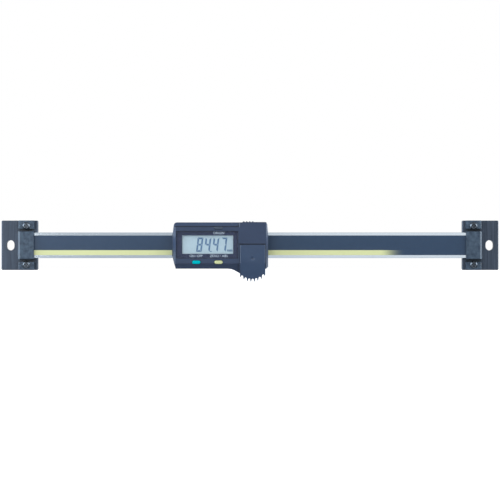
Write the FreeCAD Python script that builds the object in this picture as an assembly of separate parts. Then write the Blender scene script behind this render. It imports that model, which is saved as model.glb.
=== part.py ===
"""Digital linear scale: a measuring slider that runs along a steel beam clamped in two brackets.

The scale stands upright on its mounting plane. X runs along the beam, Z is up, and the display faces -Y.
The origin lies on the mounting plane, midway between the two bracket slots. Depths are measured forward
from the mounting plane, so a depth of 5 lies at Y = -5. All sizes are in millimetres.
"""
import FreeCAD
import Part
import math
import os

from FreeCAD import Vector

# Brackets
SLOT_PITCH = 300.0              # between the centres of the two mounting slots
SLOT_TO_END = 5.6               # slot centre to the bracket's outer end
SLOT_WIDTH = 5.0                # along the beam
SLOT_HEIGHT = 6.4               # across the beam
BRACKET_LENGTH = 22.6
BRACKET_HEIGHT = 31.0
BASE_THICKNESS = 5.0
BASE_CORNER = 0.5               # cut corners of the base
BASE_EDGE = 0.35                # bevel round the front of base and wings
BEAM_SEAT = 0.6                 # depth of the channel that the beam lies in

# Clamps over the beam ends
CLAMP_LENGTH = 9.6              # of the wings, along the beam
CLAMP_SETBACK = 1.9             # from the base's inner end
CLAMP_CROWN = 1.6               # thickness over the beam
CLAMP_WING = 3.4                # thickness of the screwed wings
CLAMP_SIDE = 0.5                # thickness of the hat's sides
CLAMP_SHOULDER = 0.4            # bevel of the hat's long edges
CLAMP_RELIEF_WIDTH = 1.8        # groove at the foot of the hat
CLAMP_RELIEF_DEPTH = 2.9
CLAMP_LIP = 0.4                 # the hat stands out past the wings at its outer end
CLAMP_END_BEVEL = 1.4
WING_END_BEVEL = 0.4
CLAMP_SCREW = 2.5               # shank diameter
CLAMP_SCREW_INSET = 3.4         # from the bracket's upper and lower edges
CLAMP_SCREW_HEAD = 4.8
CLAMP_SCREW_HEIGHT = 0.9
CLAMP_SCREW_CROWN = 3.1         # flat on top of the head
CLAMP_SCREW_LENGTH = 6.5
CROSS_WIDTH = 0.75              # arms of the cross recess
CROSS_SPAN = 2.7
CROSS_DEPTH = 0.7

# Beam
BEAM_WIDTH = 16.0
BEAM_THICKNESS = 3.5
BEAM_EDGE = 0.25
BEAM_END_INSET = 0.6            # the beam stops short of the hat's outer end
STRIP_WIDTH = 12.3
STRIP_THICKNESS = 0.5
FILM_THICKNESS = 0.2

# Clearances
FIT_GAP = 0.1                   # pieces that slip together
RUN_GAP = 0.15                  # slider frame to beam
SENSOR_GAP = 0.3                # film to pick-up board
THREAD_GAP = 0.05               # round a screw's shank
COVER_GAP = 0.2                 # round the sliding covers and the buttons

# Slider frame
SLIDER_LENGTH = 60.0
SLIDER_FROM_STOP = 84.4         # from the left bracket, as it stands
RAIL_HEIGHT = 4.6               # frame rail beyond each edge of the beam
NOSE_HEIGHT = 12.4              # straight part of the slider's ends
FRAME_TAPER = 1.6               # the frame's corners draw in by this much
BRIDGE_LENGTH = 4.0             # bars across the beam at both ends
BRIDGE_THICKNESS = 1.5
PLATE_THICKNESS = 2.4
GIB_LENGTH = 46.0
GIB_THICKNESS = 0.8
GIB_WIDTH = 2.9
GIB_SCREW = 2.5
GIB_SCREW_SPACING = 24.0
GIB_SCREW_INSET = 0.3
GIB_SLOT_WIDTH = 0.5
GIB_SLOT_DEPTH = 0.7
MOUNT_HOLE = 2.5                # tapping size of the four M3 holes in the rear plate
MOUNT_HOLE_TO_END = 10.0
MOUNT_HOLE_INSET = 2.0          # from the frame's upper and lower edges
SCREW_TO_END = 3.0              # assembly screws, from the frame's ends
SCREW_INSET = 2.2               # and from its edges
SCREW = 2.0
SCREW_HEAD = 3.4
SCREW_HEAD_HEIGHT = 0.9
SCREW_BITE = 3.6                # length of thread in the housing
SCREW_SLOT_WIDTH = 0.5
SCREW_SLOT_DEPTH = 0.4
POST_WIDTH = 4.0                # corner posts of the housing, round the screws

# Front housing
HOUSING_DEPTH = 9.7             # from the rails to the face
TOP_RIM = 1.6                   # housing above the frame
BOTTOM_RIM = 1.95               # and below it
LEFT_SETBACK = 0.4              # the frame's noses stand out past the housing
RIGHT_SETBACK = 0.15
TOP_LEFT_TAPER = 1.1
BOTTOM_LEFT_TAPER = 2.1
RIGHT_TAPER = 0.6
RIGHT_CHAMFER = 1.2             # cut corner below the right end
TOP_LEFT_RADIUS = 2.2
TOP_RIGHT_RADIUS = 1.9
END_ROUND = 14.0                # where the ends begin to draw in
LEFT_BEVEL_RUN = 2.1            # long bevels at the ends of the face
LEFT_BEVEL_DROP = 4.4
RIGHT_BEVEL_RUN = 1.2
RIGHT_BEVEL_DROP = 2.0
TOP_BAND = 2.9                  # stepped bevel above the display, in height
BOTTOM_BAND = 3.3
STEP_RUN = 0.5
STEP_DROP = 0.8
TOP_GROOVE = 0.5                # groove at the foot of the upper step
BEVEL_DROP = 1.5
FACE_WALL = 2.2
SIDE_WALL = 1.5
END_WALL = 2.4
SWOOP_DROP = 2.9                # lower edge sweeping down to the grip
SWOOP_ANGLE = 30.0              # degrees
SWOOP_RADIUS = 10.0
BLOCK_MARGIN = 0.4              # plain block to the cover's pocket
BLOCK_EDGE = 0.5                # bevel on the block's left edge, beside the upper band
GROOVE_WIDTH = 0.5              # seam groove above the battery cover
GROOVE_DEPTH = 0.5

# Display
PANEL_TO_END = 2.5
PANEL_TO_BLOCK = 0.45
PANEL_TOP_MARGIN = 2.5          # from the edge of the raised zone
PANEL_BOTTOM_MARGIN = 3.05
PANEL_RECESS = 1.0
MASK_THICKNESS = 0.1
ADHESIVE = 0.02                 # between mask and window
WINDOW_SUNK = 0.1               # window below the face
WINDOW_GAP = 0.25               # round window and mask
VIEW_LEFT = 3.6                 # margins of the viewing opening in the panel
VIEW_RIGHT = 3.1
VIEW_TOP = 2.7
VIEW_BOTTOM = 2.9
LCD_OVERLAP = 1.3               # display glass beyond the opening
LCD_THICKNESS = 2.2
HOLDER_WALL = 0.8
CONTACT_WIDTH = 1.4             # rubber contact strips
BOARD_THICKNESS = 1.0
BOARD_INSET = 0.7               # board inside the frame's edges
CHIP_ROOM = 0.6                 # round the chip, inside the holder
CHIP_HEIGHT = 1.2

# Buttons
POWER_FROM_PANEL = 12.45        # button centres from the panel's left edge
ZERO_FROM_PANEL = 26.2
BUTTON_TO_EDGE = 0.7            # row centre from the edge of the raised zone
BUTTON_LENGTH = 5.1
BUTTON_HEIGHT = 2.1
BUTTON_PROUD = 0.35
BUTTON_EDGE = 0.3               # bevel round the button's front
BUTTON_TRAVEL = 0.4
BUTTON_FLANGE = 0.6             # hidden rim that keeps the button in
BUTTON_FLANGE_THICKNESS = 0.8
BUTTON_STEM = 1.8
SWITCH_LENGTH = 3.2
SWITCH_WIDTH = 2.2
SWITCH_HEIGHT = 1.2
ORIGIN_TO_EDGE = 0.7
ORIGIN_LENGTH = 5.2
ORIGIN_HEIGHT = 1.6
ORIGIN_PROUD = 0.25

# Battery and its cover
BATTERY_DIAMETER = 11.6
BATTERY_HEIGHT = 5.4
BATTERY_RIM = 0.5
BATTERY_PLAY = 0.25
BATTERY_TO_COVER = 0.4
CONTACT_SHEET = 0.25
CONTACT_TAB = 3.0
CONTACT_LAND = 1.6
COVER_SIDE = 2.1                # cover beyond the battery, each side
COVER_ABOVE = 1.2               # cover above the battery
COVER_TOP = 0.3                 # above the beam's centre line
COVER_THICKNESS = 1.8           # at the ridge
COVER_PROUD = 0.6               # the ridge stands out past the face
COVER_EDGE = 0.4                # bevel of the sides, above the crease
COVER_CREASE = -11.0            # ridge across the front
COVER_LEAN = 1.0                # degrees that the front leans forward, down to the ridge
COVER_SKIRT = 0.9
COVER_TONGUE = 0.5
COVER_TONGUE_THICKNESS = 0.7
COVER_POCKET = 3.5              # depth of the pocket that the skirts run in
POCKET_WALL = 1.5               # housing beyond the cover, at the right end
GRIP_RADIUS = 10.3
GRIP_OFFSET = -0.4              # centre of the round edge, from the cover's middle
GRIP_BOTTOM = 22.7              # below the beam's centre line
GRIP_DEPTH = 4.8
GRIP_SLOPE = 10.0               # degrees that it slopes back below the ridge
GRIP_ABOVE = 0.9                # wall between battery and grip
GRIP_BACKING = 0.4              # housing tongue inside the serrations
SCALLOP_COUNT = 7
SCALLOP_DEPTH = 1.85
SCALLOP_CORNER = 0.3            # cut corners of the notches
TOOTH_TIP = 0.45
TOOTH_ROOT = 1.0
DIMPLE_DIAMETER = 2.8
DIMPLE_DEPTH = 0.7
DIMPLE_Z = -8.15

# Data port and its cover
PORT_COVER_LENGTH = 15.1
PORT_COVER_WIDTH = 4.2          # front to back
PORT_COVER_THICKNESS = 1.3
PORT_COVER_PROUD = 0.2
PORT_COVER_TO_END = 0.9
PORT_TONGUE = 0.6
PORT_TONGUE_THICKNESS = 0.5
PORT_FRONT_WALL = 1.2
RIB_COUNT = 4
RIB_PITCH = 1.85
RIB_RADIUS = 0.5
RIB_TO_END = 0.9
CONNECTOR_LENGTH = 8.6
CONNECTOR_WIDTH = 3.8
CONNECTOR_HEIGHT = 6.6
CONNECTOR_TO_END = 0.9          # from the cover's left end
CONNECTOR_WALL = 0.6
SOCKET_DEPTH = 4.2
PIN_COUNT = 5
PIN_PITCH = 1.27
PIN_SIZE = 0.4
PIN_HEIGHT = 3.4

# Stations along the beam
BRACKET_END = SLOT_PITCH / 2 + SLOT_TO_END
STOP = BRACKET_END - BRACKET_LENGTH
CLAMP_INNER = STOP + CLAMP_SETBACK
CLAMP_OUTER = CLAMP_INNER + CLAMP_LENGTH
BEAM_END = CLAMP_OUTER + CLAMP_LIP - BEAM_END_INSET
SLIDER_LEFT = SLIDER_FROM_STOP - STOP
SLIDER_RIGHT = SLIDER_LEFT + SLIDER_LENGTH
HOUSING_LEFT = SLIDER_LEFT + LEFT_SETBACK
HOUSING_RIGHT = SLIDER_RIGHT - RIGHT_SETBACK
COVER_WIDTH = BATTERY_DIAMETER + 2 * COVER_SIDE
POCKET_RIGHT = HOUSING_RIGHT - POCKET_WALL
COVER_RIGHT = POCKET_RIGHT - COVER_GAP
COVER_LEFT = COVER_RIGHT - COVER_WIDTH
COVER_X = (COVER_LEFT + COVER_RIGHT) / 2
GRIP_X = COVER_X + GRIP_OFFSET
POCKET_LEFT = COVER_LEFT - COVER_GAP
BLOCK_LEFT = POCKET_LEFT - BLOCK_MARGIN
PANEL_LEFT = HOUSING_LEFT + PANEL_TO_END
PANEL_RIGHT = BLOCK_LEFT - PANEL_TO_BLOCK
VIEW_X0 = PANEL_LEFT + VIEW_LEFT
VIEW_X1 = PANEL_RIGHT - VIEW_RIGHT
LCD_X0 = VIEW_X0 - LCD_OVERLAP
LCD_X1 = VIEW_X1 + LCD_OVERLAP
POWER_X = PANEL_LEFT + POWER_FROM_PANEL
ZERO_X = PANEL_LEFT + ZERO_FROM_PANEL
PORT_COVER_RIGHT = HOUSING_RIGHT - PORT_COVER_TO_END
PORT_COVER_LEFT = PORT_COVER_RIGHT - PORT_COVER_LENGTH
CONNECTOR_LEFT = PORT_COVER_LEFT + CONNECTOR_TO_END
CONNECTOR_RIGHT = CONNECTOR_LEFT + CONNECTOR_LENGTH

# Heights across the beam
BEAM_HALF = BEAM_WIDTH / 2
BRACKET_HALF = BRACKET_HEIGHT / 2
HAT_HALF = BEAM_HALF + FIT_GAP + CLAMP_SIDE
CLAMP_SCREW_Z = BRACKET_HALF - CLAMP_SCREW_INSET
FRAME_HALF = BEAM_HALF + RAIL_HEIGHT
NOSE_HALF = NOSE_HEIGHT / 2
TOP = FRAME_HALF + TOP_RIM
BOTTOM = -FRAME_HALF - BOTTOM_RIM
RAISED_TOP = TOP - TOP_BAND
RAISED_BOTTOM = BOTTOM + BOTTOM_BAND
PANEL_TOP = RAISED_TOP - PANEL_TOP_MARGIN
PANEL_BOTTOM = RAISED_BOTTOM + PANEL_BOTTOM_MARGIN
VIEW_Z0 = PANEL_BOTTOM + VIEW_BOTTOM
VIEW_Z1 = PANEL_TOP - VIEW_TOP
LCD_Z0 = VIEW_Z0 - LCD_OVERLAP
LCD_Z1 = VIEW_Z1 + LCD_OVERLAP
HOLDER_BAR = 2 * HOLDER_WALL + CONTACT_WIDTH
HOLDER_Z0 = LCD_Z0 + HOLDER_BAR
HOLDER_Z1 = LCD_Z1 - HOLDER_BAR
BUTTON_Z = RAISED_BOTTOM + BUTTON_TO_EDGE
ORIGIN_Z = RAISED_TOP - ORIGIN_TO_EDGE
GIB_BOTTOM = BEAM_HALF + RUN_GAP
GIB_TOP = GIB_BOTTOM + GIB_THICKNESS
MOUNT_HOLE_Z = FRAME_HALF - MOUNT_HOLE_INSET
SCREW_Z = FRAME_HALF - SCREW_INSET
BATTERY_RADIUS = BATTERY_DIAMETER / 2
BATTERY_Z = COVER_TOP - COVER_ABOVE - BATTERY_RADIUS
GRIP_Z = GRIP_RADIUS - GRIP_BOTTOM
GRIP_START = BATTERY_Z - BATTERY_RADIUS - BATTERY_PLAY - GRIP_ABOVE
PORT_COVER_TOP = TOP + PORT_COVER_PROUD
PORT_COVER_BOTTOM = PORT_COVER_TOP - PORT_COVER_THICKNESS
PORT_FLOOR = PORT_COVER_BOTTOM - FIT_GAP
CONNECTOR_BOTTOM = PORT_FLOOR - CONNECTOR_HEIGHT

# Depths in front of the mounting plane
BEAM_BACK = BASE_THICKNESS - BEAM_SEAT
BEAM_FRONT = BEAM_BACK + BEAM_THICKNESS
WING_FRONT = BASE_THICKNESS + CLAMP_WING
PLATE_FRONT = BEAM_BACK - RUN_GAP
PLATE_BACK = PLATE_FRONT - PLATE_THICKNESS
RAIL_FRONT = BEAM_FRONT + SENSOR_GAP
BRIDGE_FRONT = RAIL_FRONT + BRIDGE_THICKNESS
BOARD_FRONT = RAIL_FRONT + BOARD_THICKNESS
FACE = RAIL_FRONT + HOUSING_DEPTH
PANEL_FLOOR = FACE - PANEL_RECESS
CEILING = FACE - FACE_WALL
LCD_BACK = CEILING - LCD_THICKNESS
COVER_FACE = FACE + COVER_PROUD
BATTERY_FRONT = COVER_FACE - COVER_THICKNESS - BATTERY_TO_COVER
BATTERY_BACK = BATTERY_FRONT - BATTERY_HEIGHT
SKIRT_FLOOR = FACE - COVER_POCKET
SKIRT_BACK = SKIRT_FLOOR + COVER_GAP
GRIP_BACK = FACE - GRIP_DEPTH
PORT_FRONT = FACE - PORT_FRONT_WALL - PORT_TONGUE - COVER_GAP
PORT_BACK = PORT_FRONT - PORT_COVER_WIDTH
PORT_DEPTH = (PORT_FRONT + PORT_BACK) / 2

FORWARD = Vector(0, -1, 0)
BEYOND = 5.0                    # overlong tools cut clean through a surface


def face_point(x, z):
    """Point of a front outline."""
    return Vector(x, 0, z)


def section_point(z, depth):
    """Point of a section across the beam."""
    return Vector(0, -depth, z)


def plan_point(x, depth):
    """Point of a section along the beam, seen from above."""
    return Vector(x, -depth, 0)


def rounded_corner(before, corner, after, radius):
    """Start, middle and end of the arc that rounds one corner of an outline."""
    inward = (before - corner).normalize()
    outward = (after - corner).normalize()
    half_angle = inward.getAngle(outward) / 2
    bisector = (inward + outward).normalize()
    reach = radius / math.tan(half_angle)
    middle = corner + bisector * (radius / math.sin(half_angle) - radius)
    return corner + inward * reach, middle, corner + outward * reach


def outline(corners, place=face_point):
    """Closed face through corners given as (u, v) or, for a rounded corner, (u, v, radius)."""
    points = [place(corner[0], corner[1]) for corner in corners]
    edges = []
    ends = []
    for index, corner in enumerate(corners):
        start = end = points[index]
        if len(corner) > 2:
            after = points[(index + 1) % len(points)]
            start, middle, end = rounded_corner(points[index - 1], points[index], after, corner[2])
            edges.append(Part.Arc(start, middle, end).toShape())
        ends.append((start, end))
    for index, (start, end) in enumerate(ends):
        next_start = ends[(index + 1) % len(ends)][0]
        edges.append(Part.LineSegment(end, next_start).toShape())
    return Part.Face(Part.Wire(Part.__sortEdges__(edges)))


def forward(face, back, front):
    """Front outline carried from one depth to another."""
    moved = face.copy()
    moved.translate(FORWARD * back)
    return moved.extrude(FORWARD * (front - back))


def along(face, x0, x1):
    """Cross section carried along the beam."""
    moved = face.copy()
    moved.translate(Vector(x0, 0, 0))
    return moved.extrude(Vector(x1 - x0, 0, 0))


def upward(face, z0, z1):
    """Section seen from above, carried upward."""
    moved = face.copy()
    moved.translate(Vector(0, 0, z0))
    return moved.extrude(Vector(0, 0, z1 - z0))


def box(x0, x1, z0, z1, back, front):
    return Part.makeBox(x1 - x0, front - back, z1 - z0, Vector(x0, -front, z0))


def disc(x, z, radius, back, front):
    return Part.makeCylinder(radius, front - back, Vector(x, -back, z), FORWARD)


def stadium(x, z, length, height, back, front):
    """Bar with two round ends."""
    radius = min(length, height) / 2
    half_length = length / 2
    half_height = height / 2
    wide = length >= height
    if wide:
        middle = box(x - half_length + radius, x + half_length - radius, z - radius, z + radius, back, front)
        ends = [(x - half_length + radius, z), (x + half_length - radius, z)]
    else:
        middle = box(x - radius, x + radius, z - half_height + radius, z + half_height - radius, back, front)
        ends = [(x, z - half_height + radius), (x, z + half_height - radius)]
    caps = [disc(end_x, end_z, radius, back, front) for end_x, end_z in ends]
    return middle.fuse(caps).removeSplitter()


def front_edges(shape, depth):
    """Edges that lie wholly at one depth."""
    found = []
    for edge in shape.Edges:
        bounds = edge.BoundBox
        if abs(bounds.YMin + depth) < 1e-6 and abs(bounds.YMax + depth) < 1e-6:
            found.append(edge)
    return found


def turned(profile, x, z):
    """Solid of revolution about a line square to the face, from (radius, depth) corners."""
    points = [Vector(x + radius, -depth, z) for radius, depth in profile]
    face = Part.Face(Part.makePolygon(points + points[:1]))
    return face.revolve(Vector(x, 0, z), FORWARD, 360)


def mirrored(shape):
    """The same piece at the other end of the beam."""
    return shape.mirror(Vector(0, 0, 0), Vector(1, 0, 0))


def beam():
    """Ground steel bar with a shallow groove along its face."""
    bar = box(-BEAM_END, BEAM_END, -BEAM_HALF, BEAM_HALF, BEAM_BACK, BEAM_FRONT)
    long_edges = [edge for edge in bar.Edges if edge.Length > BEAM_END]
    bar = bar.makeChamfer(BEAM_EDGE, long_edges)
    groove_floor = BEAM_FRONT - STRIP_THICKNESS - FILM_THICKNESS
    half = STRIP_WIDTH / 2
    return bar.cut(box(-BEAM_END - BEYOND, BEAM_END + BEYOND, -half, half, groove_floor, BEAM_FRONT + BEYOND))


def electrode_strip():
    """Printed electrodes bonded in the beam's groove."""
    half = STRIP_WIDTH / 2
    front = BEAM_FRONT - FILM_THICKNESS
    return box(-BEAM_END, BEAM_END, -half, half, front - STRIP_THICKNESS, front)


def scale_film():
    """Printed film over the electrodes, flush with the beam's face."""
    half = STRIP_WIDTH / 2
    return box(-BEAM_END, BEAM_END, -half, half, BEAM_FRONT - FILM_THICKNESS, BEAM_FRONT)


def bracket_base():
    """Right-hand base plate: slotted at its outer end, with a channel for the beam at its inner end."""
    plate = box(STOP, BRACKET_END, -BRACKET_HALF, BRACKET_HALF, 0, BASE_THICKNESS)
    corners = [edge for edge in plate.Edges if edge.BoundBox.YLength > BASE_THICKNESS / 2]
    plate = plate.makeChamfer(BASE_CORNER, corners)
    plate = plate.makeChamfer(BASE_EDGE, front_edges(plate, BASE_THICKNESS))
    slot = stadium(SLOT_PITCH / 2, 0, SLOT_WIDTH, SLOT_HEIGHT, -BEYOND, BASE_THICKNESS + BEYOND)
    seat_half = BEAM_HALF + FIT_GAP
    seat_end = BEAM_END + FIT_GAP
    seat = box(STOP - BEYOND, seat_end, -seat_half, seat_half, BEAM_BACK, BASE_THICKNESS + BEYOND)
    hole_bottom = WING_FRONT - CLAMP_SCREW_LENGTH - THREAD_GAP
    hole_radius = CLAMP_SCREW / 2 + THREAD_GAP
    holes = [
        disc(clamp_screw_x(), z, hole_radius, hole_bottom, BASE_THICKNESS + BEYOND)
        for z in (-CLAMP_SCREW_Z, CLAMP_SCREW_Z)
    ]
    return plate.cut([slot, seat] + holes)


def clamp_screw_x():
    return (CLAMP_INNER + CLAMP_OUTER) / 2


def outer_bevel(end, front, size, z0, z1):
    """Tool for the bevel along a clamp's outer end."""
    corner = outline([
        (end - size, front),
        (end, front - size),
        (end + BEYOND, front - size),
        (end + BEYOND, front + BEYOND),
        (end - size, front + BEYOND),
    ], plan_point)
    return upward(corner, z0, z1)


def beam_clamp():
    """Right-hand clamp: a hat over the beam between two screwed wings."""
    inner_half = BEAM_HALF + FIT_GAP
    crown = BEAM_FRONT + CLAMP_CROWN
    relief_half = HAT_HALF + CLAMP_RELIEF_WIDTH
    relief_floor = WING_FRONT - CLAMP_RELIEF_DEPTH
    hat = [
        (-HAT_HALF, BASE_THICKNESS),
        (-HAT_HALF, crown - CLAMP_SHOULDER),
        (-HAT_HALF + CLAMP_SHOULDER, crown),
        (HAT_HALF - CLAMP_SHOULDER, crown),
        (HAT_HALF, crown - CLAMP_SHOULDER),
        (HAT_HALF, BASE_THICKNESS),
        (inner_half, BASE_THICKNESS),
        (inner_half, BEAM_FRONT),
        (-inner_half, BEAM_FRONT),
        (-inner_half, BASE_THICKNESS),
    ]
    piece = along(outline(hat, section_point), CLAMP_INNER, CLAMP_OUTER + CLAMP_LIP)
    cuts = [outer_bevel(CLAMP_OUTER + CLAMP_LIP, crown, CLAMP_END_BEVEL, -HAT_HALF, HAT_HALF)]
    hole_radius = CLAMP_SCREW / 2 + THREAD_GAP
    for side in (-1, 1):
        wing = [
            (side * HAT_HALF, BASE_THICKNESS),
            (side * HAT_HALF, relief_floor),
            (side * relief_half, relief_floor),
            (side * relief_half, WING_FRONT),
            (side * (BRACKET_HALF - BASE_EDGE), WING_FRONT),
            (side * BRACKET_HALF, WING_FRONT - BASE_EDGE),
            (side * BRACKET_HALF, BASE_THICKNESS),
        ]
        piece = piece.fuse(along(outline(wing, section_point), CLAMP_INNER, CLAMP_OUTER))
        wing_ends = sorted([side * relief_half, side * BRACKET_HALF])
        cuts.append(outer_bevel(CLAMP_OUTER, WING_FRONT, WING_END_BEVEL, wing_ends[0], wing_ends[1]))
        cuts.append(disc(clamp_screw_x(), side * CLAMP_SCREW_Z, hole_radius, BASE_THICKNESS - BEYOND,
                         WING_FRONT + BEYOND))
    return piece.cut(cuts).removeSplitter()


def clamp_screw(x, z, seat):
    """Cross-recessed screw with a low, wide head seated at a depth."""
    shank = CLAMP_SCREW / 2
    head = CLAMP_SCREW_HEAD / 2
    top = seat + CLAMP_SCREW_HEIGHT
    profile = [
        (0, seat - CLAMP_SCREW_LENGTH),
        (shank, seat - CLAMP_SCREW_LENGTH),
        (shank, seat),
        (head, seat),
        (CLAMP_SCREW_CROWN / 2, top),
        (0, top),
    ]
    arm = CROSS_SPAN / 2
    half = CROSS_WIDTH / 2
    recess = box(x - arm, x + arm, z - half, z + half, top - CROSS_DEPTH, top + BEYOND)
    cross = recess.fuse(box(x - half, x + half, z - arm, z + arm, top - CROSS_DEPTH, top + BEYOND))
    return turned(profile, x, z).cut(cross)


def clamp_screws():
    screws = [clamp_screw(clamp_screw_x(), z, WING_FRONT) for z in (-CLAMP_SCREW_Z, CLAMP_SCREW_Z)]
    return Part.makeCompound(screws)


def frame_outline(grow=0.0):
    """Front outline of the slider frame: straight noses and drawn-in corners."""
    left = SLIDER_LEFT - grow
    right = SLIDER_RIGHT + grow
    half = FRAME_HALF + grow
    return outline([
        (left, -NOSE_HALF),
        (left, NOSE_HALF),
        (left + FRAME_TAPER, half),
        (right - FRAME_TAPER, half),
        (right, NOSE_HALF),
        (right, -NOSE_HALF),
        (right - FRAME_TAPER, -half),
        (left + FRAME_TAPER, -half),
    ])


def corner_places(to_end, z):
    """Four places, one near each corner of the slider."""
    return [(x, side * z) for x in (SLIDER_LEFT + to_end, SLIDER_RIGHT - to_end) for side in (-1, 1)]


def slider_frame():
    """Metal body: two rails beside the beam, joined by a bridge across it at each end."""
    body = forward(frame_outline(), PLATE_FRONT, BRIDGE_FRONT)
    channel_half = BEAM_HALF + RUN_GAP
    channel = box(SLIDER_LEFT - BEYOND, SLIDER_RIGHT + BEYOND, -channel_half, channel_half,
                  PLATE_FRONT, RAIL_FRONT)
    middle = (SLIDER_LEFT + SLIDER_RIGHT) / 2
    gib_half = GIB_LENGTH / 2 + FIT_GAP
    gib_pocket = box(middle - gib_half, middle + gib_half, 0, GIB_TOP + FIT_GAP, PLATE_FRONT, RAIL_FRONT)
    board_bay = box(SLIDER_LEFT + BRIDGE_LENGTH, SLIDER_RIGHT - BRIDGE_LENGTH, -FRAME_HALF - BEYOND,
                    FRAME_HALF + BEYOND, RAIL_FRONT, BRIDGE_FRONT + BEYOND)
    holes = [
        disc(x, z, SCREW / 2 + THREAD_GAP, PLATE_FRONT, BRIDGE_FRONT + BEYOND)
        for x, z in corner_places(SCREW_TO_END, SCREW_Z)
    ]
    for x in gib_screw_places():
        origin = Vector(x, -gib_depth(), GIB_TOP)
        holes.append(Part.makeCylinder(GIB_SCREW / 2 + THREAD_GAP, RAIL_HEIGHT + BEYOND, origin))
    return body.cut([channel, gib_pocket, board_bay] + holes)


def gib_screw_places():
    middle = (SLIDER_LEFT + SLIDER_RIGHT) / 2
    return [middle - GIB_SCREW_SPACING / 2, middle + GIB_SCREW_SPACING / 2]


def gib_depth():
    """Middle of the beam's edge, where the gib bears."""
    return (BEAM_BACK + BEAM_FRONT) / 2


def gib():
    middle = (SLIDER_LEFT + SLIDER_RIGHT) / 2
    half = GIB_LENGTH / 2
    back = gib_depth() - GIB_WIDTH / 2
    return box(middle - half, middle + half, GIB_BOTTOM, GIB_TOP, back, back + GIB_WIDTH)


def gib_screws():
    """Slotted set screws that press the gib towards the beam."""
    screws = []
    length = FRAME_HALF - GIB_SCREW_INSET - GIB_TOP
    for x in gib_screw_places():
        screw = Part.makeCylinder(GIB_SCREW / 2, length, Vector(x, -gib_depth(), GIB_TOP))
        slot_floor = GIB_TOP + length - GIB_SLOT_DEPTH
        slot = box(x - GIB_SCREW, x + GIB_SCREW, slot_floor, slot_floor + BEYOND,
                   gib_depth() - GIB_SLOT_WIDTH / 2, gib_depth() + GIB_SLOT_WIDTH / 2)
        screws.append(screw.cut(slot))
    return Part.makeCompound(screws)


def rear_plate():
    """Plate that closes the frame behind the beam, with four tapped holes to carry it."""
    plate = forward(frame_outline(), PLATE_BACK, PLATE_FRONT)
    holes = [
        disc(x, z, MOUNT_HOLE / 2, PLATE_BACK - BEYOND, PLATE_FRONT + BEYOND)
        for x, z in corner_places(MOUNT_HOLE_TO_END, MOUNT_HOLE_Z)
    ]
    for x, z in corner_places(SCREW_TO_END, SCREW_Z):
        shank = SCREW / 2 + THREAD_GAP
        head = SCREW_HEAD / 2 + THREAD_GAP
        holes.append(turned([
            (0, PLATE_BACK - BEYOND),
            (head, PLATE_BACK - BEYOND),
            (head, PLATE_BACK),
            (shank, PLATE_BACK + SCREW_HEAD_HEIGHT),
            (shank, PLATE_FRONT + BEYOND),
            (0, PLATE_FRONT + BEYOND),
        ], x, z))
    return plate.cut(holes)


def assembly_screws():
    """Slotted flat-head screws from behind through plate and frame into the housing."""
    screws = []
    tip = BRIDGE_FRONT + SCREW_BITE
    for x, z in corner_places(SCREW_TO_END, SCREW_Z):
        screw = turned([
            (0, PLATE_BACK),
            (SCREW_HEAD / 2, PLATE_BACK),
            (SCREW / 2, PLATE_BACK + SCREW_HEAD_HEIGHT),
            (SCREW / 2, tip),
            (0, tip),
        ], x, z)
        slot = box(x - SCREW_HEAD, x + SCREW_HEAD, z - SCREW_SLOT_WIDTH / 2, z + SCREW_SLOT_WIDTH / 2,
                   PLATE_BACK - BEYOND, PLATE_BACK + SCREW_SLOT_DEPTH)
        screws.append(screw.cut(slot))
    return Part.makeCompound(screws)


def housing_outline():
    """Front outline of the moulded case, without the swoop and the grip."""
    return outline([
        (HOUSING_LEFT + TOP_LEFT_TAPER, TOP, TOP_LEFT_RADIUS),
        (HOUSING_RIGHT - RIGHT_TAPER, TOP, TOP_RIGHT_RADIUS),
        (HOUSING_RIGHT, NOSE_HALF, END_ROUND),
        (HOUSING_RIGHT, BOTTOM + RIGHT_CHAMFER),
        (HOUSING_RIGHT - RIGHT_CHAMFER, BOTTOM),
        (HOUSING_LEFT + BOTTOM_LEFT_TAPER, BOTTOM),
        (HOUSING_LEFT, -NOSE_HALF, END_ROUND),
        (HOUSING_LEFT, NOSE_HALF, END_ROUND),
    ])


def swoop():
    """Part of the case that sweeps down to the cover's left edge."""
    turn = POCKET_LEFT - SWOOP_DROP / math.tan(math.radians(SWOOP_ANGLE))
    inside = BOTTOM + SIDE_WALL
    face = outline([
        (turn - SWOOP_RADIUS, BOTTOM),
        (turn, BOTTOM, SWOOP_RADIUS),
        (POCKET_LEFT, BOTTOM - SWOOP_DROP),
        (POCKET_LEFT, inside),
        (turn - SWOOP_RADIUS, inside),
    ])
    return forward(face, RAIL_FRONT, FACE)


def bevel_band(edge, side):
    """Tool for the stepped bevel outside the raised zone, above (side 1) or below it (side -1)."""
    band = TOP_BAND if side > 0 else BOTTOM_BAND
    slope = BEVEL_DROP / (band - STEP_RUN)
    reach = BEYOND - STEP_RUN + band
    step_end = edge + side * STEP_RUN
    step_depth = FACE - STEP_DROP
    profile = [
        (step_end, step_depth),
        (step_end + side * reach, step_depth - slope * reach),
        (step_end + side * reach, FACE + BEYOND),
        (edge, FACE + BEYOND),
        (edge, FACE),
    ]
    if side > 0:
        profile += [(edge, step_depth - TOP_GROOVE), (step_end, step_depth - TOP_GROOVE)]
    return along(outline(profile, section_point), HOUSING_LEFT - BEYOND, BLOCK_LEFT)


def block_bevel():
    """Tool for the bevel on the block's left edge, beside the upper band."""
    corner = outline([
        (BLOCK_LEFT, FACE - BLOCK_EDGE),
        (BLOCK_LEFT + BLOCK_EDGE, FACE),
        (BLOCK_LEFT + BLOCK_EDGE, FACE + BEYOND),
        (BLOCK_LEFT, FACE + BEYOND),
    ], plan_point)
    return upward(corner, RAISED_TOP, TOP + BEYOND)


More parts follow.
